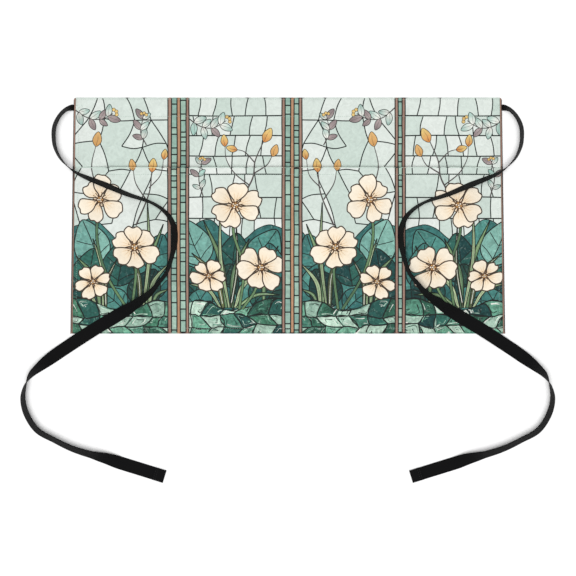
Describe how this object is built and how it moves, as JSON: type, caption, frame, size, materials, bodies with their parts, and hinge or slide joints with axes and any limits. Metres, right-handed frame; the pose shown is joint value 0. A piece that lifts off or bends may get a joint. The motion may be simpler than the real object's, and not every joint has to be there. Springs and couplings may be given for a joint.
{
  "type": "waist apron",
  "caption": "Half apron for waiting staff, laid flat: hemmed printed canvas, full-width front pocket with a hemmed mouth, and black tape ties in open curves",
  "frame": {"origin": "under the middle of the cloth, on the surface that the apron lies on", "axes": "+X across the apron to the right tie as seen from the front, +Y towards the waist edge, +Z out of the printed front, up from the surface"},
  "size_m": [0.7436, 0.5351, 0.0298],
  "materials": {
    "printed_canvas": "plain-woven canvas, printed on its face with a stained-glass flower design in mint, teal, cream and copper, matt, with an unprinted off-white reverse",
    "black_tape": "black twill-woven tape, matt"
  },
  "bodies": {
    "root": {"main_panel": "printed_canvas", "pocket_panel": "printed_canvas", "waist_hem": "printed_canvas", "bottom_hem": "printed_canvas", "left_side_hem": "printed_canvas", "right_side_hem": "printed_canvas", "pocket_mouth_hem": "printed_canvas", "left_tie": "black_tape", "right_tie": "black_tape", "left_tie_end_fold": "black_tape", "right_tie_end_fold": "black_tape"}
  },
  "joints": []
}
